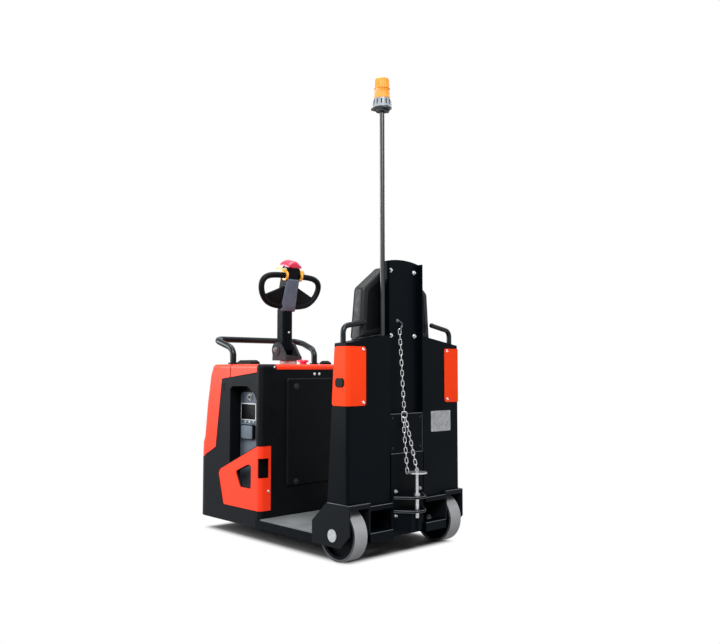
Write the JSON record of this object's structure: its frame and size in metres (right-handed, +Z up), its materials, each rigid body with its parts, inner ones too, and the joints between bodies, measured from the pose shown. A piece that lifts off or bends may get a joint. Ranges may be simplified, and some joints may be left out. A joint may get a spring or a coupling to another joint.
{
  "type": "stand-on electric baggage tow tractor",
  "caption": "Stand-on electric tow tractor with orange covers, tiller steering, standing deck, padded backrest, tow pin on a chain and a beacon on a tall pole",
  "frame": {"origin": "centre of the bounding box, on the floor", "axes": "+X forward, +Y to the driver's left, +Z up"},
  "size_m": [1.38, 0.81, 2.328],
  "materials": {
    "black_paint": "satin",
    "orange_paint": "satin",
    "grey_tread": "matte",
    "pale_steel": "satin",
    "grey_mat": "matte",
    "black_plastic": "matte",
    "dark_plastic": "matte",
    "grey_plastic": "matte",
    "battery_case": "satin",
    "motor_cast": "matte",
    "dark_cast": "satin",
    "red_plastic": "glossy",
    "yellow_plastic": "glossy",
    "zinc_steel": "satin",
    "black_vinyl": "satin",
    "amber_lens": "glossy",
    "plate_aluminium": "satin"
  },
  "bodies": {
    "chassis": {"rear_axles": "pale_steel", "wheel_guards": "black_paint", "rear_frame": "black_paint", "platform_frame": "black_paint", "deck_mat": "grey_mat", "nose_cover": "orange_paint", "top_cover": "orange_paint", "side_trays": "orange_paint", "side_panels": "black_paint", "front_skirt": "black_paint", "rear_fascia": "black_plastic", "knee_pad": "black_plastic", "side_pockets": "black_plastic", "control_panel": "grey_plastic", "key_switch": "pale_steel", "charge_socket": "black_plastic", "front_floor": "black_paint", "battery": "battery_case", "drive_bridge": "black_paint", "hand_rail": "black_paint", "display_pods": "black_plastic", "emergency_stop": "red_plastic", "column_wings": "black_paint", "column_panel": "black_paint", "back_plate": "black_paint", "channel_lid": "black_paint", "tow_coupling": "black_paint", "tow_pin": "zinc_steel", "chain_hook": "black_paint", "tow_chain": "zinc_steel", "corner_covers": "orange_paint", "inching_buttons": "black_plastic", "grab_handles": "black_paint", "backrest_board": "black_plastic", "backrest_cushion": "black_vinyl", "beacon_pole": "black_paint", "beacon_base": "dark_plastic", "beacon_lens": "amber_lens", "blank_plate": "plate_aluminium"},
    "rear_wheel_left": {"rear_tyre_left": "grey_tread", "rear_rim_left": "black_paint"},
    "rear_wheel_right": {"rear_tyre_right": "grey_tread", "rear_rim_right": "black_paint"},
    "steering": {"drive_unit": "motor_cast", "tiller_base": "dark_cast"},
    "drive_wheel": {"drive_tyre": "grey_tread", "drive_hub": "black_paint"},
    "tiller": {"tiller_arm": "black_plastic", "tiller_head": "black_plastic", "head_cover": "grey_plastic", "belly_button": "red_plastic", "thumb_wheels": "yellow_plastic"}
  },
  "joints": [
    {"name": "rear_wheel_left_spin", "type": "hinge", "parent": "chassis", "child": "rear_wheel_left", "pos_m": [-0.479, 0.333, 0.125], "axis": [0, 1, 0], "continuous": true},
    {"name": "rear_wheel_right_spin", "type": "hinge", "parent": "chassis", "child": "rear_wheel_right", "pos_m": [-0.479, -0.333, 0.125], "axis": [0, 1, 0], "continuous": true},
    {"name": "steer", "type": "hinge", "parent": "chassis", "child": "steering", "pos_m": [0.37, 0, 0.5], "axis": [0, 0, 1], "range_deg": [-90, 90]},
    {"name": "drive_wheel_spin", "type": "hinge", "parent": "steering", "child": "drive_wheel", "pos_m": [0.37, -0.01, 0.115], "axis": [0, 1, 0], "continuous": true},
    {"name": "tiller_tilt", "type": "hinge", "parent": "steering", "child": "tiller", "pos_m": [0.406, 0, 1.004], "axis": [0, -1, 0], "range_deg": [0, 60], "stiffness_Nm_per_rad": 25, "springref_deg": -28.65}
  ]
}
